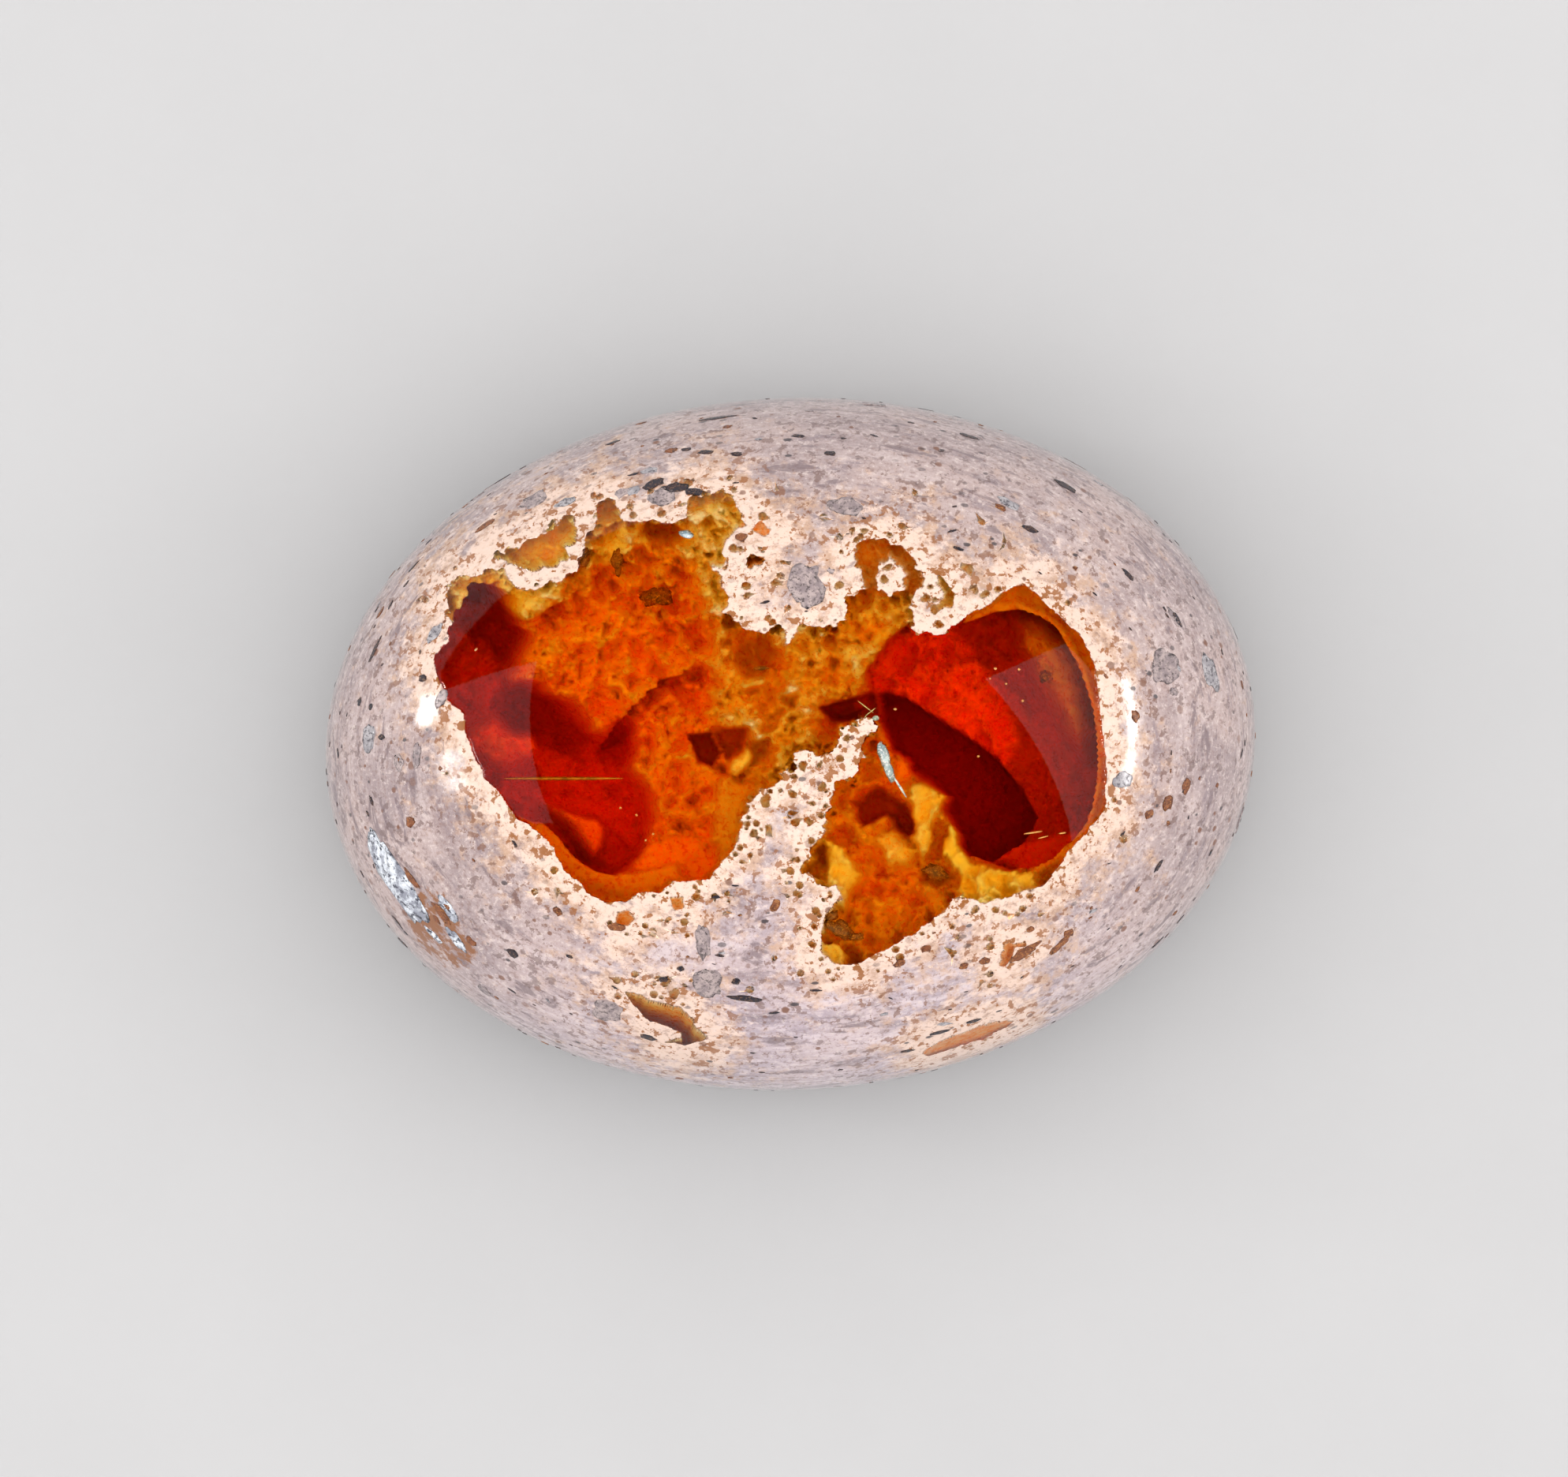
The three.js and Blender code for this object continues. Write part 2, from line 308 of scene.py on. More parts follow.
def roughened(x, y):
    """The same spots pushed about, so that outlines come out ragged: least round the two deep ends."""
    ragged = smooth_step(np.minimum(x + 6.5, 6.5 - x) / 3) * smooth_step((6 + x + 1.4 * y) / 3)
    push = 0.05 + 0.13 * np.maximum(ragged, smooth_step((y - 2.4) / 1.5) * (x < 4))
    wander_x = lumps(x, y, 0.34, 4, 3.1)
    wander_y = lumps(x, y, 0.34, 4, 8.7)
    return x + push * wander_x, y + push * wander_y


def opal_edges(x, y):
    """How far each spot lies inside the nearest window and the nearest pore, with their edges rough."""
    rough_x, rough_y = roughened(x, y)
    pores = pore_distance(x + (rough_x - x) / PORE_CALM, y + (rough_y - y) / PORE_CALM)
    return window_distance(rough_x, rough_y), pores


def dome_height(x, y):
    """The height of the polished dome over each spot."""
    reach = np.minimum(np.hypot(x / HALF_LENGTH, y / HALF_WIDTH), 1.0)
    return GIRDLE_HEIGHT + DOME_RISE * (1 - reach ** DOME_FULLNESS) ** (1 / DOME_FULLNESS)


def on_stone(x, y, z):
    """Each spot moved straight out from the stone's middle, onto its polished face."""
    reach = np.hypot(x / HALF_LENGTH, y / HALF_WIDTH)
    rise = (z - GIRDLE_HEIGHT) / DOME_RISE
    over = 1 / (reach ** DOME_FULLNESS + np.abs(rise) ** DOME_FULLNESS) ** (1 / DOME_FULLNESS)
    fall = np.maximum(GIRDLE_HEIGHT - z, 1e-9) / GIRDLE_HEIGHT
    edge_run = reach / (1 - BACK_REACH)
    edge_start = BACK_REACH / (1 - BACK_REACH)
    spread = edge_run ** 2 + fall ** 2
    root = np.sqrt(np.maximum((edge_run * edge_start) ** 2 - spread * (edge_start ** 2 - 1), 0.0))
    under = (edge_run * edge_start + root) / spread
    flat = 1 / fall
    under = np.where(reach * flat <= BACK_REACH, flat, under)
    scale = np.where(z >= GIRDLE_HEIGHT, over, under)
    return x * scale, y * scale, GIRDLE_HEIGHT + (z - GIRDLE_HEIGHT) * scale


def pocket_floors(x, y):
    """The depth, the lining's lightness (lowered under the deepest opal as painted shade) and the crust of
    the pockets' floors at each spot.
    """
    depth, pale, crust, lumpy = (np.full(len(x), value) for value in BASE_FLOOR)
    wander_x = lumps(x, y, 0.7, 4, 21.0)
    wander_y = lumps(x, y, 0.7, 4, 37.0)
    for new_depth, slope, new_pale_and_shade, new_crust, new_lumpy, ragged, outline in FLOORS:
        distance = inward(outline, x + ragged * wander_x, y + ragged * wander_y)
        share = smooth_step(distance / slope + 0.5)
        depth += share * (new_depth - depth)
        pale += share * (new_pale_and_shade - pale)
        crust += share * (new_crust - crust)
        lumpy += share * (new_lumpy - lumpy)
    for outline, new_depth, new_rust in SMALL_WINDOWS:
        share = inward(outline, x, y) > -0.2
        depth = np.where(share, new_depth, depth)
        pale = np.where(share, 0.95, pale)
        crust = np.where(share, -new_rust, crust)
        lumpy = np.where(share, 0.12, lumpy)
    for line, drop, fade in LEDGES:
        distance, side = line_distance(line, x, y)
        depth += np.where(side < 0, drop, 0.0) * np.clip(1 - distance / fade, 0.0, 1.0) ** 1.5
    for line, new_depth, half_width in RIMS:
        share = smooth_step(1.6 - line_distance(line, x, y)[0] / half_width)
        depth += share * (new_depth - depth)
        pale += share * (0.9 - pale)
        lumpy *= 1 - share
    ridges = np.maximum(1 - 2.6 * np.abs(lumps(x, y, 0.8, 4, 61.0)), 0.0)
    relief = lumps(x, y, 0.8, 5, 50.0) + 0.7 * lumps(x, y, 0.3, 3, 77.0) - 1.2 * ridges
    return np.maximum(depth + 1.25 * lumpy * relief, SHALLOWEST), pale, crust


PORES = scatter_pores(2400, (-9.4, 8.6), (-6.6, 7.0), seed=11)
PORES += scatter_pores(330, (-2.8, 1.3), (-4.2, 0.3), seed=12)


# Meshes.
def spots_of(bm):
    """The places of a mesh's vertices as three arrays."""
    places = np.array([vertex.co[:] for vertex in bm.verts])
    return places[:, 0], places[:, 1], places[:, 2]


def plan_spacing(x, y, within, widest):
    """How fine a mesh is at each spot: finest along the edges of the windows and pores."""
    windows = window_distance(*roughened(x, y))
    beyond = np.maximum(np.abs(windows) - EDGE_BAND, 0.0)
    spacing = np.minimum(EDGE_SPACING + SPACING_GROWTH * beyond, widest)
    spacing = np.where(windows > 0, np.minimum(spacing, within), spacing)
    return np.where(np.abs(pore_distance(x, y)) < PORE_BAND, EDGE_SPACING, spacing)


def rock_spacing(x, y, z):
    """How fine the host rock's mesh is at each spot."""
    spacing = plan_spacing(x, y, FLOOR_SPACING, ROCK_SPACING)
    spacing = np.where(z < GIRDLE_HEIGHT, ROCK_SPACING, spacing)
    return np.where(z < 0.01, BACK_SPACING, spacing)


def opal_spacing(x, y, z):
    """How fine the opal's mesh is at each spot; the rest of the stone is cut away from it."""
    spacing = plan_spacing(x, y, OPAL_SPACING, OPAL_SPACING)
    return np.where(z < GIRDLE_HEIGHT, 3 * OPAL_SPACING, spacing)


def polished_stone(spacing):
    """The whole stone's polished skin as triangles, as fine as spacing says."""
    bm = bmesh.new()
    bmesh.ops.create_icosphere(bm, subdivisions=4, radius=1.0)
    bmesh.ops.scale(bm, vec=(HALF_LENGTH, HALF_WIDTH, DOME_RISE), verts=bm.verts)
    bmesh.ops.translate(bm, vec=(0, 0, GIRDLE_HEIGHT), verts=bm.verts)
    for step in range(REFINING_STEPS + 1):
        places = np.stack(on_stone(*spots_of(bm)), axis=1)
        for vertex, place in zip(bm.verts, places.tolist()):
            vertex.co = place
        if step == REFINING_STEPS:
            return bm
        bm.verts.index_update()
        bm.edges.ensure_lookup_table()
        ends = np.array([(edge.verts[0].index, edge.verts[1].index) for edge in bm.edges])
        start, end = places[ends[:, 0]], places[ends[:, 1]]
        length = np.linalg.norm(end - start, axis=1)
        too_long = length > spacing(*((start + end) / 2).T)
        edges = [bm.edges[index] for index in np.flatnonzero(too_long)]
        bmesh.ops.subdivide_edges(bm, edges=edges, cuts=1)
        bmesh.ops.triangulate(bm, faces=[face for face in bm.faces if len(face.verts) > 3])


def smooth_object(bm, name, materials):
    """Turns a mesh into an object with its materials."""
    mesh = bpy.data.meshes.new(name)
    bm.to_mesh(mesh)
    bm.free()
    for material in materials:
        mesh.materials.append(material)
    mesh.polygons.foreach_set("use_smooth", [True] * len(mesh.polygons))
    piece = bpy.data.objects.new(name, mesh)
    bpy.context.scene.collection.objects.link(piece)
    return piece


def finish_piece(bm, name, materials):
    """Turns a mesh in mm into a piece of the stone, in metres, with its materials."""
    bmesh.ops.scale(bm, vec=(MM, MM, MM), verts=bm.verts)
    piece = smooth_object(bm, name, materials)
    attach(piece, "root")
    return piece


def paint_points(piece, name, values):
    """Stores one number for each vertex, for the piece's materials to read."""
    attribute = piece.data.attributes.new(name, "FLOAT", "POINT")
    attribute.data.foreach_set("value", np.asarray(values, dtype=np.float32))


def host_rock(materials):
    """The rock: polished outside, with rough pockets where the opal lies."""
    bm = polished_stone(rock_spacing)
    x, y, z = spots_of(bm)
    top = z > GIRDLE_HEIGHT
    plan, plan_pores = opal_edges(x, y)
    windows = np.where(top, plan, OUTSIDE)
    pores = np.where(top, plan_pores, OUTSIDE)
    depth = np.zeros(len(x))
    pale = np.ones(len(x))
    crust = np.zeros(len(x))
    inside = np.flatnonzero(windows > 0)
    floor, pale[inside], crust[inside] = pocket_floors(x[inside], y[inside])
    wall = 1 - (1 - np.clip(windows[inside] / WALL_WIDTH, 0.0, 1.0)) ** 2.5
    depth[inside] = floor * wall
    holes = np.flatnonzero((pores > 0) & (windows <= 0))
    depth[holes] = PORE_DEPTH * smooth_step(pores[holes] / PORE_LIP)
    crust[holes] = PORE_CRUST
    pale[holes] = PORE_PALENESS
    for vertex, place, sunk in zip(bm.verts, z.tolist(), depth.tolist()):
        vertex.co.z = place - sunk
    for face in bm.faces:
        lined = sum(depth[vertex.index] > 0 for vertex in face.verts)
        face.material_index = int(lined > 1)
    piece = finish_piece(bm, "host_rock", materials)
    stain_reach = np.maximum(-plan, 0.0) + STAIN_FALL * np.maximum(STAIN_TOP - z, 0.0)
    paint_points(piece, "warmth", np.exp(-stain_reach / STAIN_FADE))
    # The lining's lightness is partly painted shade: low under the deepest opal, for the light lost there.
    paint_points(piece, "paleness_and_painted_shade", pale)
    paint_points(piece, "crust", crust)
    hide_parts("stone")


def fire_opal(material):
    """The opal in the pockets, flush with the dome and bedded into the rock around and below."""
    bm = polished_stone(opal_spacing)
    x, y, z = spots_of(bm)
    windows, pores = opal_edges(x, y)
    fill = np.maximum(windows / OPAL_MARGIN, pores / PORE_MARGIN)
    fill = np.where(z > GIRDLE_HEIGHT, fill, OUTSIDE)
    kept = {face for face in bm.faces if max(fill[vertex.index] for vertex in face.verts) > -1}
    while True:
        pinched = [vertex for vertex in bm.verts if is_pinched(vertex, kept)]
        if not pinched:
            break
        kept.update(face for vertex in pinched for face in vertex.link_faces)
    bmesh.ops.delete(bm, geom=[face for face in bm.faces if face not in kept], context="FACES")
    loose = [vertex for vertex in bm.verts if not vertex.link_faces]
    bmesh.ops.delete(bm, geom=loose, context="VERTS")
    x, y, z = spots_of(bm)
    windows, pores = opal_edges(x, y)
    fill = np.maximum(windows / OPAL_MARGIN, pores / PORE_MARGIN)
    sunk = OPAL_DIP * np.clip(-fill, 0.0, 1.0)
    bed = np.where(windows > -OPAL_MARGIN, deepest_floor(x, y), PORE_BED)
    for vertex, place in zip(bm.verts, (z - sunk).tolist()):
        vertex.co.z = place
    under = bmesh.ops.extrude_face_region(bm, geom=list(bm.faces), use_keep_orig=True)
    lower = [item for item in under["geom"] if isinstance(item, bmesh.types.BMVert)]
    bed_of = {(round(a, 6), round(b, 6)): value for a, b, value in zip(x, y, bed)}
    for vertex in lower:
        vertex.co.z -= bed_of[(round(vertex.co.x, 6), round(vertex.co.y, 6))]
    bmesh.ops.recalc_face_normals(bm, faces=bm.faces)
    finish_piece(bm, "fire_opal", [material])


def is_pinched(vertex, kept):
    """Whether the kept faces meet at this vertex in two separate fans."""
    rims = 0
    for edge in vertex.link_edges:
        if sum(face in kept for face in edge.link_faces) == 1:
            rims += 1
    return rims > 2


def deepest_floor(x, y):
    """A depth safely below the pockets' floors at and around each spot."""
    depth = np.full(len(x), BASE_FLOOR[0] + BASE_FLOOR[3])
    for floor, _slope, _pale_and_shade, _crust, lumpy, _ragged, outline in FLOORS:
        near = inward(outline, x, y) > -0.7
        depth = np.where(near, np.maximum(depth, floor + lumpy), depth)
    for line, drop, fade in LEDGES:
        distance, _side = line_distance(line, x, y)
        depth += np.where(distance < fade + 0.5, drop, 0.0)
    return depth + OPAL_BEDDING


# Materials.
class Paint:
    """The nodes of one material, and the arithmetic on their sockets."""

    def __init__(self, name):
        self.material = bpy.data.materials.new(name)
        self.material.use_nodes = True
        self.tree = self.material.node_tree
        self.tree.nodes.clear()

    def node(self, kind, settings=None, sockets=None):
        """Adds a node: its settings first, then the values or links of its sockets."""
        node = self.tree.nodes.new(kind)
        for name, value in (settings or {}).items():
            setattr(node, name, value)
        for name, value in (sockets or {}).items():
            socket = next(item for item in node.inputs if name in (item.identifier, item.name))
            if isinstance(value, Value):
                self.tree.links.new(value.socket, socket)
            else:
                socket.default_value = value
        return node

    def value(self, node, output=0):
        """One of a node's outputs, ready for arithmetic."""
        return Value(self, node.outputs[output])

    def place(self):
        """The spot on the piece, in mm."""
        spot = self.node("ShaderNodeTexCoord")
        scaled = self.node("ShaderNodeVectorMath", {"operation": "SCALE"},
                           {"Vector": self.value(spot, "Object"), "Scale": 1 / MM})
        return self.value(scaled)

    def attribute(self, name):
        """A number stored on the mesh."""
        return self.value(self.node("ShaderNodeAttribute", {"attribute_name": name}), "Fac")

    def cloud(self, place, size, detail=4.0, rough=0.55, distortion=0.0):
        """Soft noise from 0 to 1 with lumps about as big as size in mm."""
        return self.value(self.node("ShaderNodeTexNoise", None, {
            "Vector": place, "Scale": 1 / size, "Detail": detail, "Roughness": rough,
            "Distortion": distortion}))

    def moved(self, place, offset=(0, 0, 0), stretch=(1, 1, 1)):
        """The same spot, moved and stretched, so that a pattern lies another way."""
        return self.value(self.node("ShaderNodeMapping", None, {
            "Vector": place, "Location": offset, "Scale": stretch}))

    def blend(self, share, first, second):
        """A colour between two colours."""
        return self.value(self.node("ShaderNodeMix", {"data_type": "RGBA"}, {
            "Factor_Float": share, "A_Color": colour(first), "B_Color": colour(second)}), 2)

    def band(self, value, low, high):
        """0 below low, 1 above high, and an S-shaped rise between."""
        return self.value(self.node("ShaderNodeMapRange", {"interpolation_type": "SMOOTHSTEP"}, {
            "Value": value, "From Min": low, "From Max": high}))

    def specks(self, place, spacing, share, radius, ragged=0.5):
        """Scattered specks: in a share of the cells, a ragged spot about as wide as radius in mm."""
        wander = self.node("ShaderNodeTexNoise", None, {
            "Vector": place, "Scale": 1.6 / radius, "Detail": 2.0})
        shift = self.node("ShaderNodeVectorMath", {"operation": "MULTIPLY_ADD"}, {
            "Vector": self.value(wander, "Color"), "Vector_001": (radius * ragged,) * 3,
            "Vector_002": place})
        cells = self.node("ShaderNodeTexVoronoi", None, {
            "Vector": self.value(shift), "Scale": 1 / spacing, "Randomness": 1.0})
        parts = self.node("ShaderNodeSeparateColor", None, {"Color": self.value(cells, "Color")})
        chosen = self.band(self.value(parts, 0), 1 - share, 1 - share + 0.02)
        reach = (self.value(parts, 1) * 0.7 + 0.5) * (radius / spacing)
        near = 1 - self.value(cells, "Distance") / reach
        return self.band(near, 0.0, 0.35) * chosen

    def away(self, place, spot):
        """The distance from a spot, in mm."""
        return self.value(self.node("ShaderNodeVectorMath", {"operation": "DISTANCE"}, {
            "Vector": place, "Vector_001": spot}), 1)

    def bump(self, height, strength, distance):
        """A small relief for the Normal socket."""
        return self.value(self.node("ShaderNodeBump", None, {
            "Height": height, "Strength": strength, "Distance": distance}))

    def surface(self, sockets, volume=None):
        """Joins a Principled shader, and a volume if the piece has one, to the output."""
        shader = self.node("ShaderNodeBsdfPrincipled", None, sockets)
        ends = {"Surface": self.value(shader)}
        if volume:
            ends["Volume"] = self.value(volume)
        self.node("ShaderNodeOutputMaterial", None, ends)
        return self.material


class Value:
    """A shader socket in arithmetic: each operator adds a Math node."""

    def __init__(self, paint, socket):
        self.paint = paint
        self.socket = socket

    def math(self, operation, first, second):
        node = self.paint.node("ShaderNodeMath", {"operation": operation},
                               {"Value": first, "Value_001": second})
        return self.paint.value(node)

    def __add__(self, other):
        return self.math("ADD", self, other)

    def __radd__(self, other):
        return self.math("ADD", other, self)

    def __sub__(self, other):
        return self.math("SUBTRACT", self, other)

    def __rsub__(self, other):
        return self.math("SUBTRACT", other, self)

    def __mul__(self, other):
        return self.math("MULTIPLY", self, other)

    def __rmul__(self, other):
        return self.math("MULTIPLY", other, self)

    def __truediv__(self, other):
        return self.math("DIVIDE", self, other)

    def __pow__(self, other):
        return self.math("POWER", self, other)

    def highest(self, other):
        return self.math("MAXIMUM", self, other)


def colour(value):
    """A colour as a socket wants it: a link, or four numbers."""
    return value if isinstance(value, Value) else (*value, 1.0)


def polished_rhyolite():
    """Layered pink and lavender rock, cream and peach beside the opal, specked with rust and black."""
    paint = Paint("polished_rhyolite")
    place = paint.place()
    warmth = paint.attribute("warmth")
    patches = paint.cloud(place, 2.4, 5.0, 0.62)
    layers = paint.cloud(paint.moved(place, stretch=(0.4, 0.4, 3.0)), 0.9, 5.0, 0.68, 0.4)
    mottle = paint.cloud(paint.moved(place, stretch=(0.8, 1.0, 1.5)), 0.5, 6.0, 0.7)
    grain = paint.cloud(place, 0.14, 4.0, 0.7)
    crumbs = paint.cloud(paint.moved(place, (9, 4, 2)), 0.28, 3.0, 0.65)
    smoke = paint.cloud(paint.moved(place, (2, 8, 5), (0.6, 0.8, 2.4)), 0.9, 5.0, 0.68, 0.5)
    crowd = paint.band(paint.cloud(paint.moved(place, (4, 1, 7)), 2.0, 3.0, 0.5), 0.4, 0.62)
    # Towards the stone's foot the rock tones turn lighter and more lavender: the lightening is painted light
    # for the more brightly lit lower side.
    foot = paint.band(paint.away(place, (0.5, -11.0, 4.0)), 13.0, 5.0)
    dusky = paint.blend(foot, (0.30, 0.235, 0.235), (0.36, 0.295, 0.33))
    rosy = paint.blend(foot, (0.39, 0.30, 0.285), (0.48, 0.385, 0.395))
    bright = paint.blend(foot, (0.45, 0.365, 0.355), (0.58, 0.49, 0.52))
    tone = paint.blend(paint.band(patches, 0.4, 0.62), dusky, rosy)
    tone = paint.blend(paint.band(layers, 0.5, 0.66) * 0.8, tone, bright)
    tone = paint.blend(paint.band(layers, 0.46, 0.34) * 0.6, tone, (0.20, 0.155, 0.175))
    tone = paint.blend(paint.band(mottle, 0.52, 0.66) * 0.8, tone, bright)
    tone = paint.blend(paint.band(mottle, 0.45, 0.33) * 0.6, tone, (0.24, 0.175, 0.175))
    stained = paint.band(warmth * 0.45 + paint.cloud(place, 0.6, 4.0, 0.72), 0.62, 0.85)
    tone = paint.blend(stained * 0.6, tone, (0.50, 0.30, 0.17))
    cream = paint.band(warmth * 0.5 + mottle, 0.72, 0.92)
    tone = paint.blend(cream * 0.85, tone, (0.67, 0.50, 0.415))
    tone = paint.blend(paint.band(grain, 0.54, 0.66) * 0.5, tone, (0.62, 0.52, 0.48))
    tone = paint.blend(paint.band(grain, 0.47, 0.36) * 0.5, tone, (0.20, 0.12, 0.10))
    grime = paint.band(smoke - warmth * 0.1, 0.54, 0.64)
    tone = paint.blend(grime * 0.7, tone, (0.14, 0.10, 0.11))
    rusty = paint.band(crumbs + warmth * 0.035 + crowd * 0.04, 0.60, 0.65)
    spots = paint.blend(paint.band(warmth, 0.1, 0.7), (0.12, 0.075, 0.07), (0.25, 0.09, 0.025))
    tone = paint.blend(rusty * (0.5 + warmth * 0.5), tone, spots)
    rust = paint.specks(place, 0.42, 0.35, 0.11)
    tone = paint.blend(rust * (0.5 + crowd * 0.4), tone, (0.16, 0.065, 0.035))
    dark = paint.specks(paint.moved(place, (1, 7, 2), (0.8, 1.4, 1.4)), 0.45, 0.35, 0.1)
    dark = dark * (0.3 + crowd * 0.7)
    tone = paint.blend(dark * 0.9, tone, (0.05, 0.04, 0.045))
    burnt = paint.band(paint.away(place, (-9.3, -4.3, 6.5)), 1.9, 0.4)
    charred = paint.band(burnt * 0.2 + mottle, 0.58, 0.7) * paint.band(burnt, 0.0, 0.3)
    tone = paint.blend(charred, tone, (0.22, 0.09, 0.04))
    pits = rust.highest(dark)
    polish = 0.06 + grain * 0.05 + pits * 0.25
    return paint.surface({
        "Base Color": tone, "Roughness": polish, "IOR": 1.52,
        "Normal": paint.bump(grain, 0.04, 0.00003)})


def pocket_lining():
    """The rough floor and walls of a pocket, seen through the opal: pale, crusted with ochre, or rusty, and
    darkened as painted shade where the opal is deepest.
    """
    paint = Paint("pocket_lining")
    place = paint.place()
    crust = paint.attribute("crust")
    fine = paint.cloud(place, 0.16, 5.0, 0.75)
    wisps = paint.cloud(paint.moved(place, stretch=(1.0, 0.7, 1.0)), 0.55, 6.0, 0.72, 1.2)
    clean = paint.band(fine * 0.5 + wisps * 0.5, 0.38, 0.56)
    tone = paint.blend(clean, (0.97, 0.48, 0.17), (1.0, 0.9, 0.78))
    tone = paint.blend(paint.band(fine, 0.47, 0.38) * 0.55, tone, (0.72, 0.22, 0.05))
    tone = paint.blend(crust.highest(0.0) * (0.5 + fine), tone, (1.0, 0.88, 0.32))
    tone = paint.blend((0 - crust).highest(0.0) * (1.2 - fine), tone, (0.85, 0.24, 0.03))
    # Where the lining is less pale it darkens towards near-black red: partly its own brown, and in the deep
    # red and maroon zones painted shade for the light lost through the opal.
    tone = paint.blend(paint.attribute("paleness_and_painted_shade") ** 0.7, (0.05, 0.006, 0.004), tone)
    return paint.surface({"Base Color": tone, "Roughness": 0.9, "Specular IOR Level": 0.0})


def clear_fire_opal():
    """See-through opal: yellow where it is thin, orange and then deep red where it is thick."""
    paint = Paint("clear_fire_opal")
    volume = paint.node("ShaderNodeVolumeAbsorption", None, {
        "Color": (0.995, 0.79, 0.0, 1.0), "Density": 2600.0})
    return paint.surface({
        "Base Color": (1.0, 1.0, 1.0, 1.0), "Roughness": 0.0, "IOR": 1.45,
        "Transmission Weight": 1.0}, volume)


def mineral(name, tones, size, roughness, metallic):
    """An opaque mineral, clouded and specked with three tones."""
    paint = Paint(name)
    place = paint.place()
    cloudy = paint.band(paint.cloud(place, size, 4.0, 0.65), 0.38, 0.62)
    specked = paint.band(paint.cloud(place, size / 3, 3.0, 0.7), 0.5, 0.66)
    tone = paint.blend(specked, paint.blend(cloudy, tones[0], tones[1]), tones[2])
    return paint.surface({
        "Base Color": tone, "Roughness": specked * 0.2 + roughness, "Metallic": metallic,
        "Normal": paint.bump(specked, 0.15, 0.00002)})


def plain_paper():
    """The plain pale floor."""
    paint = Paint("plain_paper")
    fibre = paint.cloud(paint.place(), 6.0, 3.0, 0.5)
    tone = paint.blend(fibre, (0.37, 0.37, 0.375), (0.39, 0.39, 0.395))
    return paint.surface({"Base Color": tone, "Roughness": 0.85, "Specular IOR Level": 0.1})


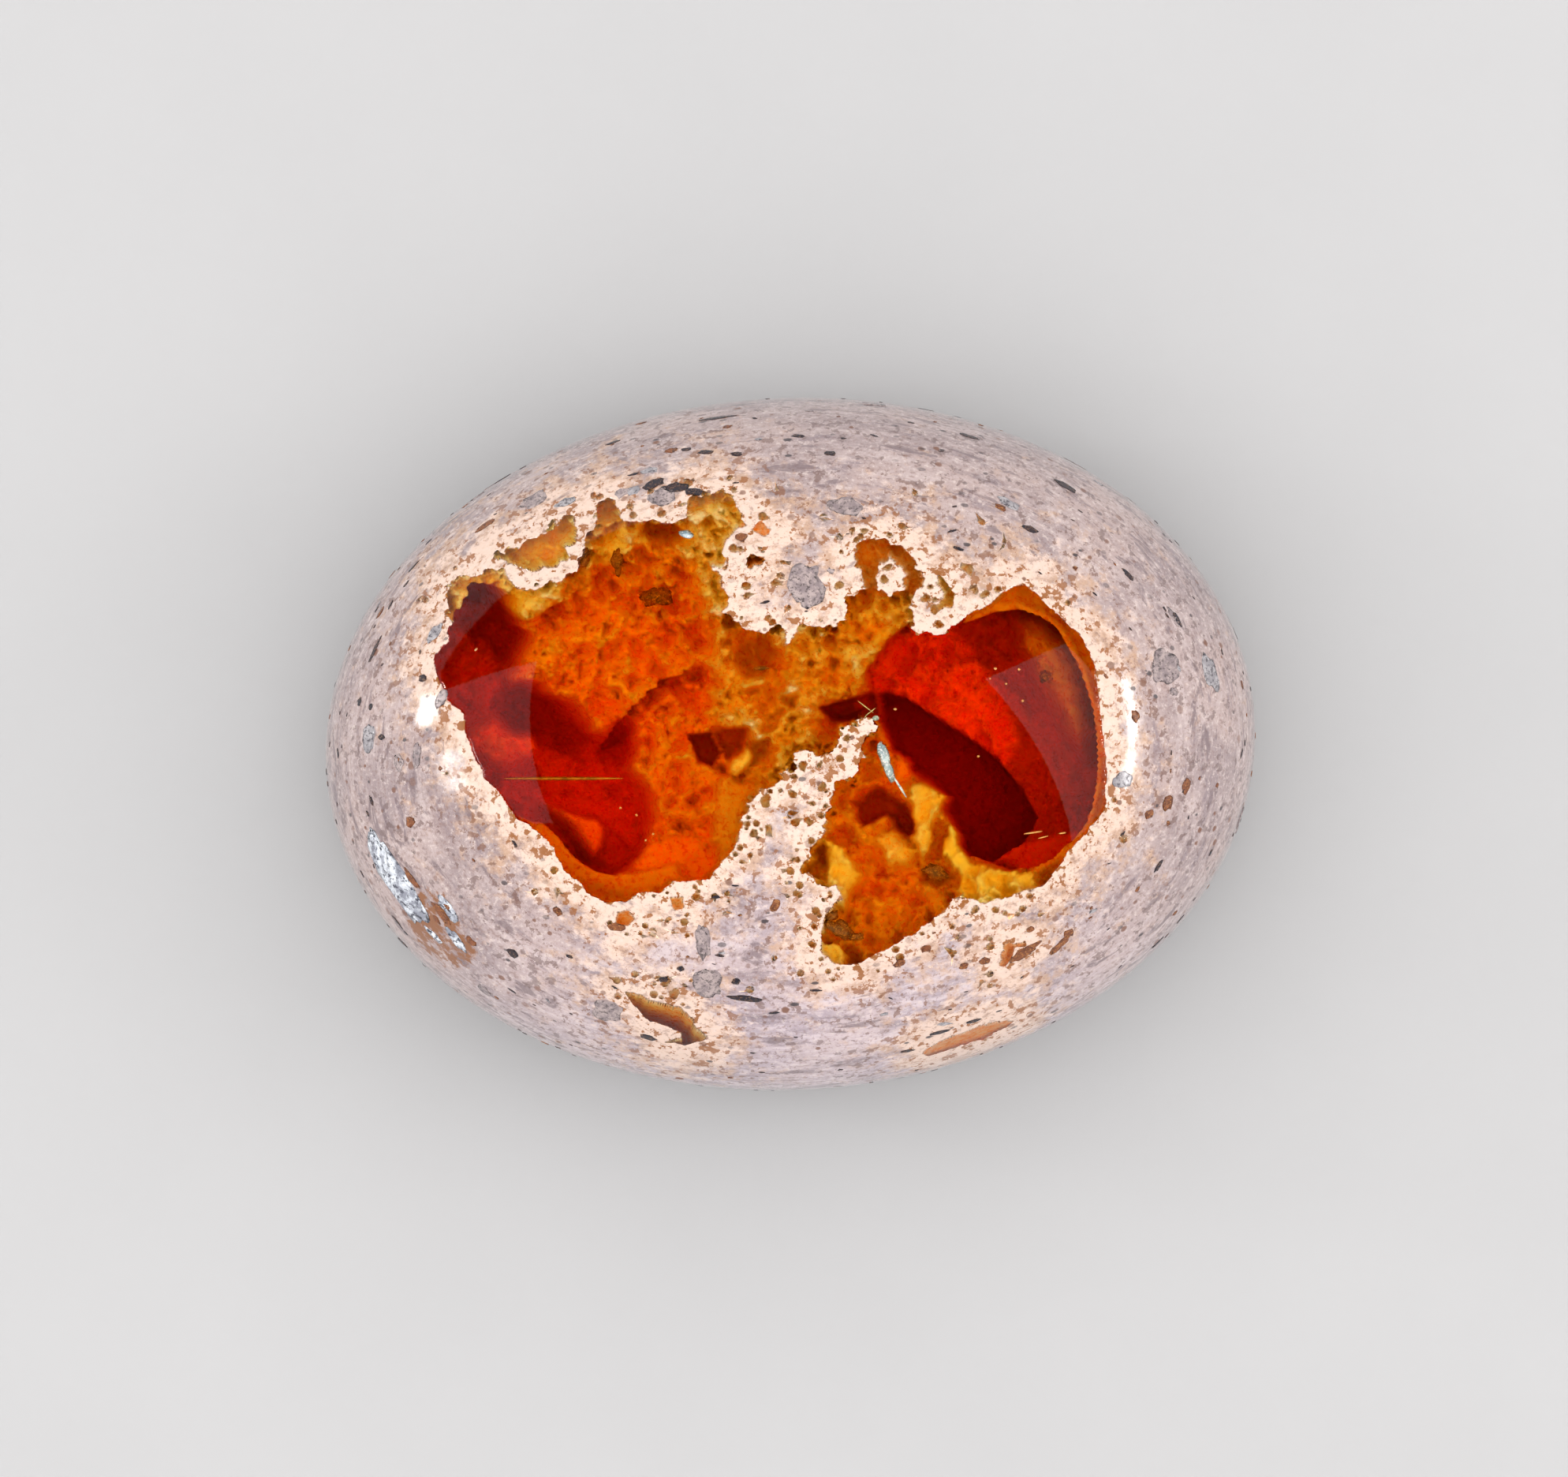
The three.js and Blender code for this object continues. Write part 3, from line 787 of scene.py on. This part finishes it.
# Grains in the rock, and what is sealed in the opal. Each is (x, y, half length, half width,
# turn in degrees); the sealed ones add a depth under the polished face.
ROCK_GRAINS = {
    "quartz_grains": [
        (0.6, 4.1, 0.62, 0.4, 95), (-2.95, 6.5, 0.36, 0.32, 0), (-2.45, -6.0, 0.42, 0.36, 80),
        (-5.05, -6.6, 0.42, 0.36, 20), (1.7, 6.0, 0.42, 0.28, -15), (-2.5, -4.95, 0.48, 0.2, 85),
        (-6.3, 6.6, 0.36, 0.3, 30), (9.7, 1.5, 0.5, 0.4, 20),
        (9.9, 0.85, 0.13, 0.12, 0), (-9.6, 0.2, 0.3, 0.12, 80), (-8.9, 1.6, 0.25, 0.16, 50)],
    "grey_grains": [
        (-3.25, 7.2, 0.25, 0.1, 0), (-5.45, 6.5, 0.3, 0.15, 10), (-10.85, 0.7, 0.35, 0.25, 75),
        (10.9, 1.3, 0.5, 0.28, 105), (8.45, -1.35, 0.27, 0.22, 0), (-3.7, 6.7, 0.17, 0.16, 0),
        (5.9, 5.9, 0.3, 0.14, -35), (-9.0, 3.3, 0.3, 0.14, 40)],
    "dark_flecks": [
        (-3.15, 6.85, 0.3, 0.13, 25), (-2.6, 6.72, 0.36, 0.16, -8), (-2.15, 6.58, 0.24, 0.12, -20),
        (-1.7, -6.0, 0.12, 0.1, 0), (-1.5, -6.45, 0.42, 0.1, -10), (-3.55, -5.85, 0.12, 0.09, 0),
        (-3.1, -5.6, 0.1, 0.08, 30), (-7.4, -5.0, 0.17, 0.12, -40), (5.0, 7.7, 0.26, 0.09, -20),
        (1.4, 7.4, 0.14, 0.09, 0), (7.4, 6.3, 0.3, 0.13, -35), (6.4, 5.2, 0.2, 0.09, -20),
        (-2.3, 7.7, 0.14, 0.07, -10), (-1.8, 7.6, 0.2, 0.08, -10), (-1.0, 7.5, 0.16, 0.08, -20),
        (-1.5, 8.5, 0.42, 0.07, 3), (-9.35, 2.15, 0.13, 0.1, 0), (-10.6, 2.95, 0.35, 0.06, 60),
        (-11.05, 1.65, 0.12, 0.08, 60), (-10.75, 1.5, 0.1, 0.07, 60), (-10.5, 0.7, 0.12, 0.07, 0),
        (4.35, -7.35, 0.2, 0.07, 10), (3.45, -7.6, 0.3, 0.07, 5), (2.6, -8.05, 0.2, 0.07, 5),
        (-4.05, -7.35, 0.22, 0.1, -30), (-4.2, 8.0, 0.2, 0.07, 10), (0.6, 7.9, 0.18, 0.07, -10),
        (8.9, 3.9, 0.2, 0.08, -50), (10.1, 2.7, 0.22, 0.08, -60), (9.3, -3.6, 0.2, 0.07, 55)],
    "rust_grains": [
        (-9.85, -1.5, 0.17, 0.13, 40), (4.7, -5.8, 0.16, 0.12, 0), (3.2, -5.4, 0.14, 0.11, 0),
        (4.15, -5.9, 0.13, 0.1, 0), (2.5, -5.75, 0.16, 0.12, 20), (9.1, -2.25, 0.14, 0.12, 0),
        (9.6, -2.0, 0.22, 0.15, 80), (10.1, -1.6, 0.22, 0.13, 75), (6.65, -5.5, 0.36, 0.11, 50),
        (6.9, -5.2, 0.14, 0.12, 0), (5.9, -5.05, 0.1, 0.09, 0), (5.7, -5.65, 0.42, 0.14, 30),
        (-0.6, -4.1, 0.2, 0.12, 60), (-9.2, -3.9, 0.35, 0.12, -60), (-9.9, -3.0, 0.3, 0.1, -50),
        (-1.0, 5.35, 0.16, 0.13, 0), (-7.6, 6.0, 0.3, 0.1, 20), (-4.7, -4.45, 0.24, 0.12, 0)],
    "silver_blades": [
        (-10.3, -3.1, 1.45, 0.48, -58), (-10.7, -2.35, 0.55, 0.34, -65), (-9.0, -3.8, 0.4, 0.17, -65),
        (-8.85, -4.6, 0.4, 0.15, -75), (-9.45, -4.45, 0.3, 0.12, -40)],
}

SEALED_GRAINS = {
    "golden_needle": [(-5.8, -0.58, 1.62, 0.045, -1.5, 0.55)],
    "dark_inclusions": [
        (-5.0, 5.0, 0.3, 0.15, 80, 0.5), (-4.15, 4.85, 0.36, 0.16, 95, 0.7),
        (-3.2, 3.85, 0.36, 0.22, -10, 0.9), (-0.65, 1.95, 0.2, 0.06, 0, 0.5),
        (1.0, -4.75, 0.36, 0.2, -40, 0.35), (0.8, -4.4, 0.2, 0.14, 20, 0.35), (1.4, -4.95, 0.2, 0.1, 0, 0.4),
        (3.5, -3.4, 0.34, 0.16, -30, 0.5), (6.5, 1.35, 0.16, 0.15, 0, 1.1)],
    "bright_flake": [
        (2.36, -0.42, 0.36, 0.13, -76, 0.07), (2.47, -0.8, 0.34, 0.12, -72, 0.08),
        (2.72, -1.22, 0.34, 0.03, -60, 0.06), (2.2, 0.55, 0.09, 0.07, 0, 0.12),
        (-2.4, 5.48, 0.2, 0.12, -30, 0.05),
        (1.95, 0.85, 0.26, 0.012, -40, 0.25), (2.05, 0.7, 0.2, 0.012, 35, 0.25)],
    "bubbles": [
        (5.3, 1.65, 0.04, 0.035, 0, 0.25), (5.9, 1.6, 0.04, 0.035, 0, 0.3),
        (5.95, 0.8, 0.035, 0.03, 0, 0.3), (2.7, 0.75, 0.04, 0.03, 0, 0.25),
        (4.75, -0.55, 0.035, 0.03, 0, 0.3), (-4.4, -1.4, 0.03, 0.03, 0, 0.3),
        (-4.0, -1.6, 0.035, 0.03, 0, 0.3), (-3.6, -2.1, 0.03, 0.03, 0, 0.3),
        (-3.8, -2.25, 0.03, 0.03, 0, 0.3), (-7.9, 2.8, 0.05, 0.03, 40, 0.2),
        (6.05, -2.55, 0.26, 0.022, 0, 0.3), (6.8, -2.6, 0.1, 0.022, 0, 0.3),
        (6.3, -2.68, 0.14, 0.015, 5, 0.3), (5.55, 1.25, 0.03, 0.025, 0, 0.3),
        (5.15, 1.4, 0.025, 0.02, 0, 0.3)],
}


# What each piece of grains is made of: the mineral, three tones, the size of its clouds in mm, how rough
# and how metallic it is. The rock's add their strays: how many, the least and greatest half length, how
# slender, and the seed. The sealed ones add how thick for their width and how lumpy they are.
ROCK_KINDS = [
    ("quartz_grains", "greyish_quartz", ((0.36, 0.29, 0.28), (0.22, 0.175, 0.18), (0.08, 0.06, 0.06)),
     0.25, 0.12, 0.0, (22, 0.1, 0.36, 0.4, 5)),
    ("grey_grains", "blue_grey_feldspar", ((0.23, 0.215, 0.23), (0.36, 0.34, 0.35), (0.06, 0.05, 0.06)),
     0.3, 0.1, 0.0, (22, 0.08, 0.25, 0.3, 6)),
    ("dark_flecks", "black_brown_mica", ((0.035, 0.022, 0.025), (0.02, 0.02, 0.028), (0.12, 0.06, 0.035)),
     0.2, 0.2, 0.0, (260, 0.05, 0.26, 0.22, 7)),
    ("rust_grains", "iron_rust", ((0.20, 0.065, 0.025), (0.10, 0.03, 0.015), (0.36, 0.15, 0.04)),
     0.15, 0.3, 0.0, (130, 0.05, 0.18, 0.4, 8)),
    ("silver_blades", "silver_glass", ((0.78, 0.82, 0.88), (0.26, 0.27, 0.32), (0.03, 0.03, 0.05)),
     0.4, 0.08, 0.2, (0, 0.0, 0.0, 0.0, 9)),
]
SEALED_KINDS = [
    ("golden_needle", "golden_rutile", ((0.62, 0.3, 0.08), (0.42, 0.2, 0.06), (0.25, 0.12, 0.04)),
     1.2, 0.3, 0.3, 1.0, 0.7),
    ("dark_inclusions", "brown_inclusion", ((0.30, 0.09, 0.015), (0.10, 0.03, 0.01), (0.55, 0.25, 0.04)),
     0.15, 0.5, 0.0, 0.6, 0.7),
    ("bright_flake", "bluish_flake", ((0.62, 0.76, 0.86), (0.2, 0.3, 0.38), (0.9, 0.9, 0.95)),
     0.2, 0.2, 0.3, 0.3, 0.3),
    ("bubbles", "pale_bubble", ((0.95, 0.75, 0.75), (0.9, 0.6, 0.6), (1.0, 0.9, 0.9)),
     0.2, 0.3, 0.0, 0.6, 0.7),
]

BIG_GRAIN = 0.25                 # half length in mm from which a grain has a finer mesh
PLACED_THICK = 0.12              # half thickness of the listed grains
STRAY_THICK = 0.06               # and of the stray ones
THREAD_WIDTH = 0.08              # a sealed grain with a smaller half width is smooth


def facing(x, y, z):
    """The way the polished face looks at a spot."""
    if z < 0.05:
        return Vector((0, 0, -1))
    rise = DOME_RISE if z > GIRDLE_HEIGHT else GIRDLE_HEIGHT
    return Vector((x / HALF_LENGTH ** 2, y / HALF_WIDTH ** 2, (z - GIRDLE_HEIGHT) / rise ** 2)).normalized()


def add_grain(bm, x, y, z, long, wide, thick, turn, fineness, lumpy, seed):
    """Adds a lumpy grain lying along the face, its long way turned from X in the plan."""
    out = facing(x, y, z)
    along = Vector((math.cos(turn), math.sin(turn), 0.0))
    along = (along - out * along.dot(out)).normalized()
    across = out.cross(along)
    axes = Matrix((along * long, across * wide, out * thick)).transposed().to_4x4()
    for vertex in bmesh.ops.create_icosphere(bm, subdivisions=fineness, radius=1.0)["verts"]:
        swell = 1 + lumpy * noise.noise(vertex.co * 1.7 + Vector((seed * 3.7, seed * 1.3, seed)))
        vertex.co = Vector((x, y, z)) + axes @ (vertex.co * swell)


def make_flush(bm):
    """Grinds whatever stands out of the stone down to the polish, with a trace left standing."""
    x, y, z = spots_of(bm)
    face_x, face_y, face_z = on_stone(x, y, z)
    reach = np.hypot(np.hypot(x, y), z - GIRDLE_HEIGHT)
    face_reach = np.hypot(np.hypot(face_x, face_y), face_z - GIRDLE_HEIGHT)
    standing = (reach > face_reach).tolist()
    for vertex, stands, fx, fy, fz in zip(bm.verts, standing, face_x, face_y, face_z):
        if stands:
            spot = Vector((fx, fy, fz))
            vertex.co = spot + facing(fx, fy, fz) * GRAIN_PROUD


def stray_grains(count, low, high, slender, seed):
    """Grains strewn over the whole stone, back and sides too, clear of the windows."""
    draw = random.Random(seed)
    found = []
    while len(found) < count:
        way = Vector((draw.gauss(0, 1), draw.gauss(0, 1), draw.gauss(0, 1))).normalized()
        start = (way.x * HALF_LENGTH, way.y * HALF_WIDTH, GIRDLE_HEIGHT + way.z * DOME_RISE)
        x, y, z = (float(value[0]) for value in on_stone(*(np.array([value]) for value in start)))
        long = low + (high - low) * draw.random() ** 3
        turn = math.atan2(y / HALF_WIDTH ** 2, x / HALF_LENGTH ** 2) + math.pi / 2 + draw.gauss(0, 0.35)
        clear = window_distance(np.array([x]), np.array([y]))[0] < -long - 0.15
        if clear or z < GIRDLE_HEIGHT:
            found.append((x, y, z, long, long * draw.uniform(slender, 2 * slender), turn))
    return found


def rock_grains(name, material, strays):
    """The grains of one kind in the rock, ground flush with it."""
    bm = bmesh.new()
    for number, (x, y, long, wide, turn) in enumerate(ROCK_GRAINS[name]):
        z = float(dome_height(np.array([x]), np.array([y]))[0])
        fineness = 3 if long > BIG_GRAIN else 2
        add_grain(bm, x, y, z, long, wide, PLACED_THICK, math.radians(turn), fineness, 0.5, number)
    for number, (x, y, z, long, wide, turn) in enumerate(strays):
        add_grain(bm, x, y, z, long, wide, STRAY_THICK, turn, 2, 0.7, 50 + number)
    make_flush(bm)
    finish_piece(bm, name, [material])


def sealed_grains(name, material, thick, lumpy):
    """The grains of one kind sealed inside the opal, each thick times its half width."""
    bm = bmesh.new()
    for number, (x, y, long, wide, turn, depth) in enumerate(SEALED_GRAINS[name]):
        z = float(dome_height(np.array([x]), np.array([y]))[0]) - depth
        swell = lumpy if wide > THREAD_WIDTH else 0.0
        add_grain(bm, x, y, z, long, wide, wide * thick, math.radians(turn), 3, swell, number)
    finish_piece(bm, name, [material])


# The floor, the lights and the camera.
CAMERA_DISTANCE = 0.330          # above the girdle
CAMERA_FRAME = 0.04082           # width of the view at the girdle
CAMERA_ROLL = math.radians(-2.87)
CAMERA_CENTRE = (-0.00016, 0.00015)
FLOOR_REACH = 0.75               # how far out the floor is flat
FLOOR_BEND = 0.35                # radius of the bend into its wall
BEND_STEPS = 12


def pale_floor():
    """A wide floor that curves up into a wall all round."""
    bm = bmesh.new()
    section = [(0.0, 0.0), (FLOOR_REACH, 0.0)]
    for step in range(1, BEND_STEPS + 1):
        angle = math.pi / 2 * step / BEND_STEPS
        section.append((FLOOR_REACH + FLOOR_BEND * math.sin(angle), FLOOR_BEND * (1 - math.cos(angle))))
    points = [bm.verts.new((run, 0, rise)) for run, rise in section]
    lines = [bm.edges.new(pair) for pair in zip(points, points[1:])]
    bmesh.ops.spin(bm, geom=points + lines, cent=(0, 0, 0), axis=(0, 0, 1), angle=math.tau, steps=96,
                   use_merge=True)
    bmesh.ops.remove_doubles(bm, verts=bm.verts, dist=1e-6)
    bmesh.ops.recalc_face_normals(bm, faces=bm.faces)
    floor = smooth_object(bm, "floor", [plain_paper()])


def direction(azimuth, elevation):
    """The way to something at an azimuth and elevation in degrees."""
    turn, lift = math.radians(azimuth), math.radians(elevation)
    return Vector((math.cos(lift) * math.cos(turn), math.cos(lift) * math.sin(turn), math.sin(lift)))


def softbox(name, first, second, drop, radiance, distance=0.3, tint=(1.0, 1.0, 1.0)):
    """A soft lamp: its upper edge runs from the first direction to the second, and it hangs down by drop."""
    first, second = direction(*first) * distance, direction(*second) * distance
    along = (second - first).normalized()
    middle = (first + second) / 2
    back = (middle - along * middle.dot(along)).normalized()
    down = back.cross(along)
    if down.z > 0:
        down, along = -down, -along
    lamp = bpy.data.lights.new(name, "AREA")
    lamp.shape = "RECTANGLE"
    lamp.size = (second - first).length
    lamp.size_y = drop
    lamp.energy = radiance * math.pi * lamp.size * drop
    lamp.color = tint
    box = bpy.data.objects.new(name, lamp)
    box.location = middle + down * drop / 2 + Vector((0, 0, HEIGHT * MM / 2))
    box.rotation_euler = Matrix((-along, -down, back)).transposed().to_euler()
    box.visible_camera = False
    bpy.context.scene.collection.objects.link(box)


def studio():
    """Even light from above, a softbox low on each side, and a dim card to each side for the sheen."""
    scene = bpy.context.scene
    world = bpy.data.worlds.new("studio")
    world.use_nodes = True
    background = world.node_tree.nodes["Background"]
    background.inputs["Color"].default_value = (1.0, 0.985, 0.975, 1.0)
    background.inputs["Strength"].default_value = 1.9
    world.cycles_visibility.glossy = False
    scene.world = world
    softbox("left_softbox", (162, 21), (170, 21), 0.036, 26)
    softbox("left_glow", (177, 33), (189, 33), 0.045, 8)
    softbox("right_softbox", (14, 28.5), (-18, 28.5), 0.012, 26)
    softbox("left_card", (146, 44), (206, 51), 0.15, 0.55, 0.32)
    softbox("right_card", (26, 60.6), (-35.3, 34.2), 0.12, 0.8, tint=(1.0, 0.9, 0.85))
    scene.view_settings.view_transform = "Standard"
    scene.cycles.use_denoising = True
    scene.cycles.adaptive_threshold = 0.2
    scene.cycles.max_bounces = 8
    scene.cycles.transmission_bounces = 6
    scene.cycles.diffuse_bounces = 3
    scene.cycles.glossy_bounces = 3


def straight_above():
    """The camera looks straight down on the dome, turned a little so that the stone lies at a slant."""
    lens = bpy.data.cameras.new("camera")
    lens.sensor_width = 36.0
    lens.lens = lens.sensor_width * CAMERA_DISTANCE / CAMERA_FRAME
    lens.clip_start = 0.01
    lens.clip_end = 10.0
    camera = bpy.data.objects.new("camera", lens)
    camera.location = (*CAMERA_CENTRE, CAMERA_DISTANCE + GIRDLE_HEIGHT * MM)
    camera.rotation_euler = (0, 0, CAMERA_ROLL)
    bpy.context.scene.collection.objects.link(camera)
    bpy.context.scene.camera = camera


straight_above()
studio()
pale_floor()
host_rock([polished_rhyolite(), pocket_lining()])
fire_opal(clear_fire_opal())
for piece, kind, tones, size, roughness, metallic, strays in ROCK_KINDS:
    rock_grains(piece, mineral(kind, tones, size, roughness, metallic), stray_grains(*strays))
for piece, kind, tones, size, roughness, metallic, thick, lumpy in SEALED_KINDS:
    sealed_grains(piece, mineral(kind, tones, size, roughness, metallic), thick, lumpy)
